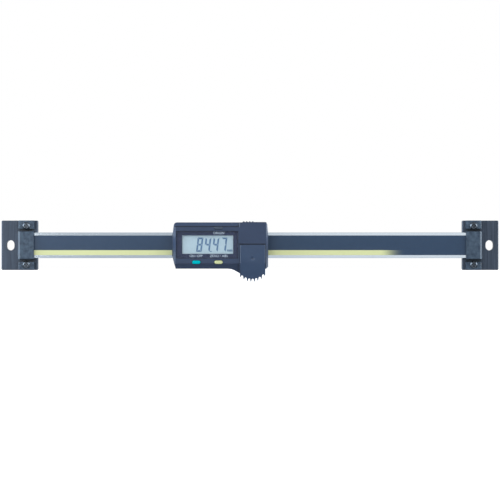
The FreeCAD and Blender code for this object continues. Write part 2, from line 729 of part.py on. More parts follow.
def end_bevel(end, side, run, drop):
    """Tool for the long bevel at one end of the face."""
    slope = run / drop
    profile = [
        (end - side * run, FACE),
        (end + side * slope * BEYOND, FACE - drop - BEYOND),
        (end + side * (slope * BEYOND + BEYOND), FACE - drop - BEYOND),
        (end + side * (slope * BEYOND + BEYOND), FACE + BEYOND),
        (end - side * run, FACE + BEYOND),
    ]
    return upward(outline(profile, plan_point), BOTTOM - BEYOND, TOP + BEYOND)


def display_cavity():
    """Room behind the face for board, display and buttons, with a post in each left corner."""
    room = box(HOUSING_LEFT + END_WALL, LCD_X1 + COVER_GAP, BOTTOM + SIDE_WALL, TOP - SIDE_WALL,
               RAIL_FRONT - BEYOND, CEILING)
    post_right = SLIDER_LEFT + SCREW_TO_END + POST_WIDTH / 2
    post_inner = SCREW_Z - POST_WIDTH / 2
    lower_post = box(HOUSING_LEFT, post_right, BOTTOM, -post_inner, BRIDGE_FRONT, CEILING)
    upper_post = box(HOUSING_LEFT, post_right, post_inner, TOP, BRIDGE_FRONT, CEILING)
    return room.cut([lower_post, upper_post])


def cover_pocket():
    """Pocket and grooves that the battery cover slides in, open at the lower end."""
    low = -GRIP_BOTTOM - BEYOND
    top = COVER_TOP + COVER_GAP
    pocket = box(POCKET_LEFT, POCKET_RIGHT, low, top, SKIRT_FLOOR, FACE + BEYOND)
    grip_room = box(POCKET_LEFT, POCKET_RIGHT, low, GRIP_START + COVER_GAP,
                    GRIP_BACK - COVER_GAP, FACE + BEYOND)
    groove = box(POCKET_LEFT - COVER_TONGUE, POCKET_RIGHT + COVER_TONGUE, low, top, SKIRT_FLOOR,
                 SKIRT_BACK + COVER_TONGUE_THICKNESS + COVER_GAP)
    cell = disc(COVER_X, BATTERY_Z, BATTERY_RADIUS + BATTERY_PLAY, RAIL_FRONT, FACE)
    notch_half = CONTACT_TAB / 2 + COVER_GAP
    notch_top = BATTERY_Z + BATTERY_RADIUS + BATTERY_PLAY + CONTACT_SHEET + COVER_GAP
    notch = box(COVER_X - notch_half, COVER_X + notch_half, BATTERY_Z, notch_top, RAIL_FRONT, SKIRT_FLOOR)
    return pocket.fuse([grip_room, groove, cell, notch])


def port_room():
    """Slot for the port cover, open at the right end, and the well of the data socket below it."""
    left = PORT_COVER_LEFT - COVER_GAP
    right = HOUSING_RIGHT + BEYOND
    slot = box(left, right, PORT_FLOOR, TOP + BEYOND, PORT_BACK - COVER_GAP, PORT_FRONT + COVER_GAP)
    groove = box(left, right, PORT_FLOOR, PORT_COVER_BOTTOM + PORT_TONGUE_THICKNESS + FIT_GAP,
                 PORT_BACK - PORT_TONGUE - COVER_GAP, PORT_FRONT + PORT_TONGUE + COVER_GAP)
    half = CONNECTOR_WIDTH / 2 + FIT_GAP
    well = box(CONNECTOR_LEFT - FIT_GAP, CONNECTOR_RIGHT + FIT_GAP, CONNECTOR_BOTTOM - FIT_GAP,
               PORT_FLOOR + FIT_GAP, RAIL_FRONT, PORT_DEPTH + half)
    return slot.fuse([groove, well])


def button_holes():
    """Round-ended openings for the three buttons."""
    grow = 2 * COVER_GAP
    holes = [
        stadium(x, BUTTON_Z, BUTTON_LENGTH + grow, BUTTON_HEIGHT + grow, CEILING - BEYOND, FACE + BEYOND)
        for x in (POWER_X, ZERO_X)
    ]
    grow = 2 * FIT_GAP
    holes.append(stadium(ZERO_X, ORIGIN_Z, ORIGIN_LENGTH + grow, ORIGIN_HEIGHT + grow,
                         CEILING - BEYOND, FACE + BEYOND))
    return holes


def panel(shrink, back, front):
    """Recess of the display panel, or a sheet in it when shrunk by its clearance."""
    return box(PANEL_LEFT + shrink, PANEL_RIGHT - shrink, PANEL_BOTTOM + shrink, PANEL_TOP - shrink,
               back, front)


def view_opening(back, front):
    """Viewing opening over the display glass."""
    return box(VIEW_X0, VIEW_X1, VIEW_Z0, VIEW_Z1, back, front)


def front_housing():
    """Moulded case: bevelled face, display recess, plain block and the battery cover's pocket."""
    case = forward(housing_outline(), RAIL_FRONT, FACE)
    tongue_radius = GRIP_RADIUS - SCALLOP_DEPTH - GRIP_BACKING
    tongue = disc(GRIP_X, GRIP_Z, tongue_radius, RAIL_FRONT, GRIP_BACK)
    below = box(POCKET_LEFT, POCKET_RIGHT, -GRIP_BOTTOM, BOTTOM + SIDE_WALL, RAIL_FRONT, GRIP_BACK)
    heel = box(POCKET_LEFT, COVER_LEFT + COVER_SKIRT, BOTTOM - SWOOP_DROP, BOTTOM + SIDE_WALL,
               RAIL_FRONT, GRIP_BACK)
    case = case.fuse([swoop(), tongue.common(below), heel])
    cuts = [
        bevel_band(RAISED_TOP, 1),
        bevel_band(RAISED_BOTTOM, -1),
        block_bevel(),
        end_bevel(HOUSING_LEFT, -1, LEFT_BEVEL_RUN, LEFT_BEVEL_DROP),
        end_bevel(HOUSING_RIGHT, 1, RIGHT_BEVEL_RUN, RIGHT_BEVEL_DROP),
        forward(frame_outline(FIT_GAP), RAIL_FRONT - BEYOND, BRIDGE_FRONT),
        display_cavity(),
        cover_pocket(),
        port_room(),
        panel(0, PANEL_FLOOR, FACE + BEYOND),
        view_opening(CEILING - BEYOND, FACE),
        box(BLOCK_LEFT, POCKET_RIGHT, COVER_TOP + COVER_GAP, COVER_TOP + COVER_GAP + GROOVE_WIDTH,
            FACE - GROOVE_DEPTH, FACE + BEYOND),
    ]
    cuts += button_holes()
    cuts += [
        disc(x, z, SCREW / 2 + THREAD_GAP, RAIL_FRONT, BRIDGE_FRONT + SCREW_BITE + THREAD_GAP)
        for x, z in corner_places(SCREW_TO_END, SCREW_Z)
    ]
    return case.cut(cuts).removeSplitter()


def display_window():
    """Clear panel over the whole display recess."""
    back = PANEL_FLOOR + MASK_THICKNESS + ADHESIVE
    return panel(WINDOW_GAP, back, FACE - WINDOW_SUNK)


def display_mask():
    """Printed film behind the window that frames the viewing opening."""
    sheet = panel(WINDOW_GAP, PANEL_FLOOR, PANEL_FLOOR + MASK_THICKNESS)
    return sheet.cut(view_opening(PANEL_FLOOR - BEYOND, FACE))


def lcd_panel():
    return box(LCD_X0, LCD_X1, LCD_Z0, LCD_Z1, LCD_BACK, CEILING)


def lcd_holder():
    """Frame that carries the display glass over the board and guides the rubber contacts."""
    frame = box(LCD_X0, LCD_X1, LCD_Z0, LCD_Z1, BOARD_FRONT, LCD_BACK)
    window = box(LCD_X0 + HOLDER_WALL, LCD_X1 - HOLDER_WALL, HOLDER_Z0, HOLDER_Z1,
                 BOARD_FRONT - BEYOND, LCD_BACK + BEYOND)
    slots = [contact_strip(z, FIT_GAP, BEYOND) for z in contact_heights()]
    return frame.cut([window] + slots)


def contact_heights():
    """Lower edges of the two contact strips."""
    return [LCD_Z0 + HOLDER_WALL, LCD_Z1 - HOLDER_WALL - CONTACT_WIDTH]


def contact_strip(z, grow=0.0, overrun=0.0):
    return box(LCD_X0 + HOLDER_WALL - grow, LCD_X1 - HOLDER_WALL + grow, z - grow, z + CONTACT_WIDTH + grow,
               BOARD_FRONT - overrun, LCD_BACK + overrun)


def contact_strips():
    return Part.makeCompound([contact_strip(z) for z in contact_heights()])


def circuit_board():
    half = FRAME_HALF - BOARD_INSET
    return box(SLIDER_LEFT + BRIDGE_LENGTH + FIT_GAP, SLIDER_RIGHT - BRIDGE_LENGTH - FIT_GAP, -half, half,
               RAIL_FRONT, BOARD_FRONT)


def controller_chip():
    """Square chip on the board, inside the holder's opening."""
    x = (LCD_X0 + LCD_X1) / 2
    half = (HOLDER_Z1 - HOLDER_Z0) / 2 - CHIP_ROOM
    return box(x - half, x + half, HOLDER_Z0 + CHIP_ROOM, HOLDER_Z1 - CHIP_ROOM,
               BOARD_FRONT, BOARD_FRONT + CHIP_HEIGHT)


def button_places():
    """Centres of the three buttons, from left to right along the lower row and then the upper one."""
    return [(POWER_X, BUTTON_Z), (ZERO_X, BUTTON_Z), (ZERO_X, ORIGIN_Z)]


def key_switches():
    """Three low switches on the board, one below each button."""
    return Part.makeCompound([
        box(x - SWITCH_LENGTH / 2, x + SWITCH_LENGTH / 2, z - SWITCH_WIDTH / 2, z + SWITCH_WIDTH / 2,
            BOARD_FRONT, BOARD_FRONT + SWITCH_HEIGHT)
        for x, z in button_places()
    ])


def button(x, z, length, height, front):
    """Round-ended button with a hidden square rim and a stem down to its switch."""
    rim_front = CEILING - COVER_GAP
    rim_back = rim_front - BUTTON_FLANGE_THICKNESS
    cap = stadium(x, z, length, height, rim_front, front)
    cap = cap.makeChamfer(BUTTON_EDGE, front_edges(cap, front))
    half_length = length / 2 + BUTTON_FLANGE
    half_height = height / 2 + BUTTON_FLANGE
    rim = box(x - half_length, x + half_length, z - half_height, z + half_height, rim_back, rim_front)
    half_stem = BUTTON_STEM / 2
    stem_back = BOARD_FRONT + SWITCH_HEIGHT + BUTTON_TRAVEL + FIT_GAP
    stem = box(x - half_stem, x + half_stem, z - half_stem, z + half_stem, stem_back, rim_back)
    return cap.fuse([rim, stem]).removeSplitter()


def power_button():
    return button(POWER_X, BUTTON_Z, BUTTON_LENGTH, BUTTON_HEIGHT, FACE + BUTTON_PROUD)


def zero_button():
    return button(ZERO_X, BUTTON_Z, BUTTON_LENGTH, BUTTON_HEIGHT, FACE + BUTTON_PROUD)


def origin_button():
    return button(ZERO_X, ORIGIN_Z, ORIGIN_LENGTH, ORIGIN_HEIGHT, FACE + ORIGIN_PROUD)


def battery():
    """Silver-oxide cell: a can with a smaller cap towards the board."""
    cap = BATTERY_RADIUS - 2 * BATTERY_RIM
    return turned([
        (0, BATTERY_BACK),
        (cap, BATTERY_BACK),
        (cap, BATTERY_BACK + BATTERY_RIM),
        (BATTERY_RADIUS, BATTERY_BACK + BATTERY_RIM),
        (BATTERY_RADIUS, BATTERY_FRONT),
        (0, BATTERY_FRONT),
    ], COVER_X, BATTERY_Z)


def battery_negative_contact():
    """Leaf spring that rises from the board to the battery's cap."""
    foot = COVER_X - CONTACT_TAB
    land = COVER_X
    leaf = outline([
        (foot, BOARD_FRONT),
        (foot + CONTACT_LAND, BOARD_FRONT),
        (land, BATTERY_BACK - CONTACT_SHEET),
        (land + CONTACT_LAND, BATTERY_BACK - CONTACT_SHEET),
        (land + CONTACT_LAND, BATTERY_BACK),
        (land, BATTERY_BACK),
        (foot + CONTACT_LAND, BOARD_FRONT + CONTACT_SHEET),
        (foot, BOARD_FRONT + CONTACT_SHEET),
    ], plan_point)
    return upward(leaf, BATTERY_Z - CONTACT_TAB / 2, BATTERY_Z + CONTACT_TAB / 2)


def battery_positive_contact():
    """Upright leaf on the board that touches the side of the battery's can."""
    low = BATTERY_Z + BATTERY_RADIUS + THREAD_GAP
    return box(COVER_X - CONTACT_TAB / 2, COVER_X + CONTACT_TAB / 2, low, low + CONTACT_SHEET,
               BOARD_FRONT, SKIRT_FLOOR - COVER_GAP)


def grip_edge(x):
    """Height of the grip's round edge at a station along the beam."""
    return GRIP_Z - math.sqrt(GRIP_RADIUS ** 2 - (x - GRIP_X) ** 2)


def scallops():
    """Notches with cut corners at even steps along the grip's lower edge, which leave pointed teeth."""
    pitch = (COVER_WIDTH - TOOTH_TIP) / SCALLOP_COUNT
    root_half = (pitch - TOOTH_ROOT) / 2
    flare = (TOOTH_ROOT - TOOTH_TIP) / 2 / SCALLOP_DEPTH
    cuts = []
    for index in range(SCALLOP_COUNT):
        x = COVER_LEFT + TOOTH_TIP / 2 + pitch * (index + 0.5)
        root = grip_edge(x) + SCALLOP_DEPTH
        low_half = root_half + flare * BEYOND
        face = outline([
            (x - low_half, root - BEYOND),
            (x - root_half, root - SCALLOP_CORNER),
            (x - root_half + SCALLOP_CORNER, root),
            (x + root_half - SCALLOP_CORNER, root),
            (x + root_half, root - SCALLOP_CORNER),
            (x + low_half, root - BEYOND),
        ])
        cuts.append(forward(face, GRIP_BACK - BEYOND, FACE + BEYOND))
    return cuts


def cover_front():
    """Tool for the cover's front, which leans forward down to a ridge and slopes back below it."""
    rise = math.tan(math.radians(COVER_LEAN))
    fall = math.tan(math.radians(GRIP_SLOPE))
    low = -GRIP_BOTTOM - BEYOND
    high = COVER_TOP + BEYOND
    profile = [
        (COVER_CREASE, COVER_FACE),
        (low, COVER_FACE - fall * (COVER_CREASE - low)),
        (low, COVER_FACE + BEYOND),
        (high, COVER_FACE + BEYOND),
        (high, COVER_FACE - rise * (high - COVER_CREASE)),
    ]
    return along(outline(profile, section_point), COVER_LEFT - BEYOND, COVER_RIGHT + BEYOND)


def cover_side_bevel(wall, side):
    """Tool for the bevel along one side of the cover, from the ridge up."""
    rise = math.tan(math.radians(COVER_LEAN))
    height = COVER_TOP + BEYOND - COVER_CREASE
    corner = outline([
        (wall, COVER_FACE - COVER_EDGE),
        (wall + side * COVER_EDGE, COVER_FACE),
        (wall + side * COVER_EDGE, COVER_FACE + BEYOND),
        (wall - side * BEYOND, COVER_FACE + BEYOND),
        (wall - side * BEYOND, COVER_FACE - COVER_EDGE),
    ], plan_point)
    corner.translate(Vector(0, 0, COVER_CREASE))
    return corner.extrude(Vector(0, rise * height, height))


def battery_cover():
    """Sliding lid: a thin panel with side skirts, whose lower end is a thick serrated grip."""
    inner = COVER_FACE - COVER_THICKNESS
    edge = [
        face_point(COVER_LEFT, grip_edge(COVER_LEFT)),
        face_point(GRIP_X, -GRIP_BOTTOM),
        face_point(COVER_RIGHT, grip_edge(COVER_RIGHT)),
        face_point(COVER_RIGHT, COVER_TOP),
        face_point(COVER_LEFT, COVER_TOP),
    ]
    edges = [Part.Arc(edge[0], edge[1], edge[2]).toShape()]
    edges += [Part.LineSegment(edge[i], edge[(i + 1) % len(edge)]).toShape() for i in range(2, len(edge))]
    whole = forward(Part.Face(Part.Wire(edges)), GRIP_BACK, COVER_FACE)
    hollow = box(COVER_LEFT - BEYOND, COVER_RIGHT + BEYOND, GRIP_START, COVER_TOP + BEYOND,
                 GRIP_BACK - BEYOND, inner)
    lid = whole.cut(hollow)
    added = []
    cuts = [cover_front()]
    for wall, side in ((COVER_LEFT, 1), (COVER_RIGHT, -1)):
        inside = wall + side * COVER_SKIRT
        outside = wall - side * COVER_TONGUE
        added.append(box(min(wall, inside), max(wall, inside), GRIP_START, COVER_TOP - COVER_EDGE,
                         SKIRT_BACK, inner))
        added.append(box(min(outside, inside), max(outside, inside), GRIP_START, COVER_TOP - COVER_EDGE,
                         SKIRT_BACK, SKIRT_BACK + COVER_TONGUE_THICKNESS))
        cuts.append(cover_side_bevel(wall, side))
    cuts.append(turned([
        (0, COVER_FACE - DIMPLE_DEPTH),
        (DIMPLE_DIAMETER / 2, COVER_FACE),
        (0, COVER_FACE),
    ], COVER_X, DIMPLE_Z))
    return lid.fuse(added).cut(cuts + scallops()).removeSplitter()


def output_connector():
    """Socket of the data port, open upward, with a bore for each pin."""
    half = CONNECTOR_WIDTH / 2
    body = box(CONNECTOR_LEFT, CONNECTOR_RIGHT, CONNECTOR_BOTTOM, PORT_FLOOR,
               PORT_DEPTH - half, PORT_DEPTH + half)
    socket = box(CONNECTOR_LEFT + CONNECTOR_WALL, CONNECTOR_RIGHT - CONNECTOR_WALL, PORT_FLOOR - SOCKET_DEPTH,
                 PORT_FLOOR + BEYOND, PORT_DEPTH - half + CONNECTOR_WALL, PORT_DEPTH + half - CONNECTOR_WALL)
    return body.cut([socket] + pins())


def pins():
    """Bent pins: a tail from the board and an upright in the socket."""
    middle = (CONNECTOR_LEFT + CONNECTOR_RIGHT) / 2
    socket_floor = PORT_FLOOR - SOCKET_DEPTH
    half = PIN_SIZE / 2
    low = (CONNECTOR_BOTTOM + socket_floor) / 2 - half
    made = []
    for index in range(PIN_COUNT):
        x = middle + PIN_PITCH * (index - (PIN_COUNT - 1) / 2)
        bend = outline([
            (low, BOARD_FRONT),
            (low + PIN_SIZE, BOARD_FRONT),
            (low + PIN_SIZE, PORT_DEPTH - half),
            (socket_floor + PIN_HEIGHT, PORT_DEPTH - half),
            (socket_floor + PIN_HEIGHT, PORT_DEPTH + half),
            (low, PORT_DEPTH + half),
        ], section_point)
        made.append(along(bend, x - half, x + half))
    return made


def connector_pins():
    return Part.makeCompound(pins())


def port_cover():
    """Sliding cover of the data port, with finger ribs at its left end."""
    corner = PORT_COVER_TOP - PORT_COVER_BOTTOM - PORT_TONGUE_THICKNESS
    plate = forward(outline([
        (PORT_COVER_LEFT, PORT_COVER_BOTTOM),
        (PORT_COVER_RIGHT, PORT_COVER_BOTTOM),
        (PORT_COVER_RIGHT, PORT_COVER_TOP, corner),
        (PORT_COVER_LEFT, PORT_COVER_TOP),
    ]), PORT_BACK, PORT_FRONT)
    tongue_top = PORT_COVER_BOTTOM + PORT_TONGUE_THICKNESS
    tongue = box(PORT_COVER_LEFT, PORT_COVER_RIGHT, PORT_COVER_BOTTOM, tongue_top,
                 PORT_BACK - PORT_TONGUE, PORT_FRONT + PORT_TONGUE)
    ribs = []
    for index in range(RIB_COUNT):
        x = PORT_COVER_LEFT + RIB_TO_END + RIB_PITCH * index
        ribs.append(disc(x, PORT_COVER_TOP, RIB_RADIUS, PORT_BACK, PORT_FRONT))
    return plate.fuse([tongue] + ribs).removeSplitter()


PIECES = {
    "beam": beam(),
    "electrode_strip": electrode_strip(),
    "scale_film": scale_film(),
    "right_bracket_base": bracket_base(),
    "right_beam_clamp": beam_clamp(),
    "right_clamp_screws": clamp_screws(),
    "left_bracket_base": mirrored(bracket_base()),
    "left_beam_clamp": mirrored(beam_clamp()),
    "left_clamp_screws": mirrored(clamp_screws()),
    "slider_frame": slider_frame(),
    "rear_plate": rear_plate(),
    "assembly_screws": assembly_screws(),
    "gib": gib(),
    "gib_screws": gib_screws(),
    "front_housing": front_housing(),
    "display_window": display_window(),
    "display_mask": display_mask(),
    "lcd_panel": lcd_panel(),
    "lcd_holder": lcd_holder(),
    "contact_strips": contact_strips(),
    "circuit_board": circuit_board(),
    "controller_chip": controller_chip(),
    "key_switches": key_switches(),
    "power_button": power_button(),
    "zero_button": zero_button(),
    "origin_button": origin_button(),
    "battery": battery(),
    "battery_negative_contact": battery_negative_contact(),
    "battery_positive_contact": battery_positive_contact(),
    "battery_cover": battery_cover(),
    "output_connector": output_connector(),
    "connector_pins": connector_pins(),
    "port_cover": port_cover(),
}

os.makedirs("parts", exist_ok=True)
for name, shape in PIECES.items():
    shape.exportStep(os.path.join("parts", name + ".step"))
    print(name, len(shape.Solids), round(shape.Volume, 2), shape.isValid())
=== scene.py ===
# %% [markdown]
# # Dressing a digital linear scale
# The object is a steel beam held in two black brackets, with a measuring slider on it. The slider's case
# is moulded plastic with a display, three buttons and a battery cover that ends in a serrated thumb grip.
# The solids come in ready-made, at their real size, so this lesson gives them finishes, rounded edges,
# lettering, light and a camera. Lengths in a scene are metres, so sizes written in millimetres are turned
# by one factor.

# %% Load the solids
import bmesh
import bpy
import math
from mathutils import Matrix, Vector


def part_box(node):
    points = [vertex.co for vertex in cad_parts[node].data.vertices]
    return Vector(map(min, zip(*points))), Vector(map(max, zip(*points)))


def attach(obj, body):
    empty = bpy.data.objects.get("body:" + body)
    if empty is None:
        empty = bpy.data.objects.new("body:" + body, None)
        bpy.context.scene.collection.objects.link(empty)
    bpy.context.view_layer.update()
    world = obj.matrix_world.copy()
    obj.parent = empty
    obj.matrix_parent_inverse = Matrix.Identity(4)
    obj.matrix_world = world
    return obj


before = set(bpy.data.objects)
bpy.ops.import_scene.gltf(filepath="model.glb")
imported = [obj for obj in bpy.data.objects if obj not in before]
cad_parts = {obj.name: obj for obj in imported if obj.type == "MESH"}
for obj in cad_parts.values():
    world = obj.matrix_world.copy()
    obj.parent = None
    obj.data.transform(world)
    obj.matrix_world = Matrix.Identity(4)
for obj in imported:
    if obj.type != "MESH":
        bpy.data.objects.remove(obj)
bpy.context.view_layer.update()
MM = 0.001                   # metres in a millimetre

# %% [markdown]
# ## The camera
# The photograph was taken square to the face, from far away: both ends of the beam are equally tall and
# no side of the case shows. An orthographic camera would do for that one view, but a long lens also gives
# views from other sides their natural depth. Its length follows from the width that the picture covers at
# the beam.

# %% Camera
VIEW_WIDTH = 312.3 * MM      # across the picture, at the beam's face
VIEW_CENTRE_Z = -2.95 * MM   # the picture's middle lies a little below the beam's centre line
CAMERA_DISTANCE = 1.2        # metres from the beam's face

beam_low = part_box("beam")[0]
lens = bpy.data.cameras.new("photo_camera")
lens.lens = lens.sensor_width * CAMERA_DISTANCE / VIEW_WIDTH
camera = bpy.data.objects.new("photo_camera", lens)
camera.location = (0, beam_low.y - CAMERA_DISTANCE, VIEW_CENTRE_Z)
camera.rotation_euler = (math.radians(90), 0, 0)
bpy.context.scene.collection.objects.link(camera)
bpy.context.scene.camera = camera
print("lens", round(lens.lens), "mm")

# %% [markdown]
# ## The studio
# A product picture on white is lit by large soft sources. Dark glossy plastic shows little of its own
# colour and much of what stands around it, so the light that falls on the object is set apart from the
# white that the camera sees behind it: the Light Path node tells the two kinds of ray apart. Every node
# in this file is added by one small function, which takes the node's kind, its socket values, its links
# and its settings.

# %% White backdrop and soft surroundings
SURROUND = 0.6               # brightness of the walls that the object reflects
SURROUND_COLOUR = (0.89, 0.95, 1, 1)
BACKDROP = 1.0               # brightness that the camera sees
WHITE = (1, 1, 1, 1)


def add(tree, kind, values=None, links=(), **settings):
    """Add a node, set its sockets and settings, and link each (input, source) pair."""
    node = tree.nodes.new(kind)
    for name, value in settings.items():
        setattr(node, name, value)
    for name, value in (values or {}).items():
        node.inputs[name].default_value = value
    for name, source in links:
        tree.links.new(source, node.inputs[name])
    return node


scene = bpy.context.scene
scene.view_settings.view_transform = "Standard"
world = bpy.data.worlds.new("studio")
world.use_nodes = True
scene.world = world
tree = world.node_tree
tree.nodes.clear()
ray = add(tree, "ShaderNodeLightPath")
around = add(tree, "ShaderNodeBackground", {"Color": SURROUND_COLOUR, "Strength": SURROUND})
white = add(tree, "ShaderNodeBackground", {"Color": WHITE, "Strength": BACKDROP})
both = add(tree, "ShaderNodeMixShader", {}, [
    (0, ray.outputs["Is Camera Ray"]),
    (1, around.outputs["Background"]),
    (2, white.outputs["Background"]),
])
add(tree, "ShaderNodeOutputWorld", {}, [("Surface", both.outputs["Shader"])])
print("world nodes:", len(tree.nodes))

# %% [markdown]
# ## The softboxes
# A softbox is a lamp behind a sheet of cloth, and an area light of the same size stands for it. Two
# bluish strips at the sides light the slanting ends of the case and every rounded edge that faces
# sideways. A fill from the left makes the left end a little brighter than the right one, and a high light
# on the right fills the shadow that the slider throws on the beam. The last one is a dim card in front of
# the right half: it lights next to nothing, but the steel mirrors it. A constraint turns each light to
# the object's middle, which saves working out its angles.

# %% Softboxes
SOFTBOXES = {                # place, size in metres, brightness and colour of the cloth
    "left_strip": ((-0.75, -0.05, 0.1), (0.7, 0.9), 6.8, (0.8, 0.91, 1)),
    "right_strip": ((1.0, 0.1, 0.1), (0.9, 1.2), 6.3, (0.86, 0.94, 1)),
    "left_fill": ((-0.72, -1.3, 0.31), (0.8, 0.6), 4.4, (1, 1, 1)),
    "right_top": ((0.7, -0.7, 1.0), (0.8, 0.8), 4.7, (1, 1, 1)),
    "right_card": ((0.26, -1.5, -0.06), (0.46, 0.4), 0.36, (1, 0.97, 0.95)),
}

aim = bpy.data.objects.new("light_aim", None)
scene.collection.objects.link(aim)
for name, (place, (width, height), brightness, colour) in SOFTBOXES.items():
    light = bpy.data.lights.new(name, "AREA")
    light.shape = "RECTANGLE"
    light.size = width
    light.size_y = height
    light.energy = brightness * math.pi * width * height    # the same cloth, larger, gives more light
    light.color = colour
    box = bpy.data.objects.new(name, light)
    box.location = place
    turn = box.constraints.new("TRACK_TO")
    turn.target = aim
    turn.track_axis = "TRACK_NEGATIVE_Z"
    turn.up_axis = "UP_Y"
    box.visible_camera = False
    scene.collection.objects.link(box)
print("softboxes:", len(SOFTBOXES))

# %% [markdown]
# ## Colours
# A colour picked on a screen is an sRGB hex value. Shaders work in linear light, so one function turns
# the hex value, with the numbers of the sRGB standard. Another starts a material: a shader with a base
# colour, a roughness and any other plain numbers that hold all over the surface.

# %% From hex to linear, and a first shader
def linear(hex_value):
    """Linear colour, with alpha, of an sRGB hex value such as #c8cdd2."""
    channels = [int(hex_value[place:place + 2], 16) / 255 for place in (1, 3, 5)]
    return [c / 12.92 if c <= 0.04045 else ((c + 0.055) / 1.055) ** 2.4 for c in channels] + [1]


def start(name, colour, roughness, values=None):
    """New material with its tree and its shader."""
    made = bpy.data.materials.new(name)
    made.use_nodes = True
    shader = made.node_tree.nodes["Principled BSDF"]
    plain = {"Base Color": linear(colour), "Roughness": roughness}
    for socket, value in (plain | (values or {})).items():
        shader.inputs[socket].default_value = value
    return made, made.node_tree, shader


print("mid grey", [round(c, 3) for c in linear("#808080")])

# %% [markdown]
# ## Patterns at their real size
# Grain, brush lines and orange peel are all noise: what tells them apart is the size of one cell and how
# long it is in each direction. The Mapping node takes the cell's size in millimetres, so a pattern keeps
# its real size on any piece. The same noise can then raise the surface, change its gloss or shift its
# colour. Photographs of such surfaces would do it too, but noise needs no unwrapping and never repeats.
# All cells and depths below are in millimetres.

# %% Noise cells, relief, gloss and tint
NOISE_SPAN = {"From Min": 0.3, "From Max": 0.7}    # nearly all of the noise lies between these


def pattern(tree, cell, detail=2.0):
    """Noise with cells of the given (x, y, z) size in millimetres."""
    where = add(tree, "ShaderNodeTexCoord")
    sized = add(tree, "ShaderNodeMapping", {"Scale": [1 / (size * MM) for size in cell]},
                [("Vector", where.outputs["Object"])])
    return add(tree, "ShaderNodeTexNoise", {"Scale": 1.0, "Detail": detail},
               [("Vector", sized.outputs["Vector"])])


def relief(tree, shader, noise, depth):
    """Raise the surface along a pattern, by a depth in millimetres."""
    bump = add(tree, "ShaderNodeBump", {"Distance": depth * MM}, [("Height", noise.outputs["Fac"])])
    tree.links.new(bump.outputs["Normal"], shader.inputs["Normal"])


def gloss(tree, shader, noise, low, high):
    """Let the roughness wander between two values along a pattern."""
    span = add(tree, "ShaderNodeMapRange", NOISE_SPAN | {"To Min": low, "To Max": high},
               [("Value", noise.outputs["Fac"])])
    tree.links.new(span.outputs["Result"], shader.inputs["Roughness"])


def tint(tree, shader, noise, dark, light, corner=None):
    """Let the colour wander between two hex values, and paint shade into corners narrower than a size in
    mm.
    """
    span = add(tree, "ShaderNodeMapRange", NOISE_SPAN, [("Value", noise.outputs["Fac"])])
    shade = add(tree, "ShaderNodeMixRGB", {"Color1": linear(dark), "Color2": linear(light)},
                [("Fac", span.outputs["Result"])])
    if corner:
        # painted shade: the Ambient Occlusion node darkens the base colour where the surface is closed in
        shade = add(tree, "ShaderNodeAmbientOcclusion", {"Distance": corner * MM},
                    [("Color", shade.outputs["Color"])])
    tree.links.new(shade.outputs["Color"], shader.inputs["Base Color"])


def dress(material, *names):
    """Give CAD nodes their material."""
    for name in names:
        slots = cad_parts[name].data.materials
        slots.clear()
        slots.append(material)
    print(material.name, "on", ", ".join(names))


print("noise used from", NOISE_SPAN["From Min"], "to", NOISE_SPAN["From Max"])

# %% [markdown]
# ## Moulded ABS
# The case, its covers and its buttons are injection-moulded ABS. The mould's spark-eroded face leaves an
# even, fine grain, which turns sharp reflections into a satin sheen. The real grain is about 0.1 mm. It
# is drawn at 0.5 mm, or the picture would not show it. The colour drifts a little over the centimetres
# that the melt flowed. Seams get painted shade, a darker base colour where little light gets in: an
# Ambient
# Occlusion node measures how closed in each point is. The buttons are more matt than the case.

# %% Satin plastic
ABS_GRAIN = (0.5, 0.5, 0.5)  # coarser than the real 0.1, to show
ABS_GRAIN_DEPTH = 0.012
ABS_FLOW = (14, 14, 5)       # drift of the colour
ABS_IOR = 1.54
ABS_SMOOTHER = -0.05         # the grain makes the roughness wander from here
ABS_ROUGHER = 0.06           # to here
SEAM_SHADE = 1                     # painted shade darkens seams and grooves up to about this many millimetres wide
ABS_PIECES = {               # colours, roughness, sheen, nodes
    "moulded_abs_navy": ("#1b2d48", "#1e304c", 0.42, 0.5, ["front_housing"]),
    "moulded_abs_navy_cover": ("#203551", "#233955", 0.42, 0.5, ["battery_cover", "port_cover"]),
    "moulded_abs_teal": ("#00a0a9", "#00a4ad", 0.6, 0.02, ["power_button"]),
    "moulded_abs_yellow": ("#b9be90", "#c0c597", 0.6, 0.1, ["zero_button"]),
    # the origin key is the case's navy ABS, coloured lighter as painted light on its raised face
    "moulded_abs_navy_painted_light": ("#2e3a4c", "#324050", 0.42, 0.5, ["origin_button"]),
}

for name, (dark, light, roughness, sheen, nodes) in ABS_PIECES.items():
    plastic, tree, shader = start(name, dark, roughness, {"IOR": ABS_IOR, "Specular IOR Level": sheen})
    grain = pattern(tree, ABS_GRAIN)
    flow = pattern(tree, ABS_FLOW)
    relief(tree, shader, grain, ABS_GRAIN_DEPTH)
    gloss(tree, shader, grain, roughness + ABS_SMOOTHER, roughness + ABS_ROUGHER)
    # the flow tints the colour, and painted shade darkens it in seams
    tint(tree, shader, flow, dark, light, SEAM_SHADE)
    dress(plastic, *nodes)

# %% [markdown]
# ## The ground steel beam
# The beam is hardened stainless steel, ground lengthwise. Grinding leaves scratches that run along the
# beam, a few hundredths of a millimetre wide and many millimetres long: they smear reflections across the
# beam. An anisotropic shader would smear them as well, but without showing a scratch. Long thin noise
# cells give both the scratches and a slight banding in the gloss.

# %% Ground steel
SCRATCH_WIDTH = 0.25         # coarser than the real scratches, to show
SCRATCH_LENGTH = 90
SCRATCH_DEPTH = 0.002
FINE = 4.0                   # detail of a pattern that holds finer and finer lines

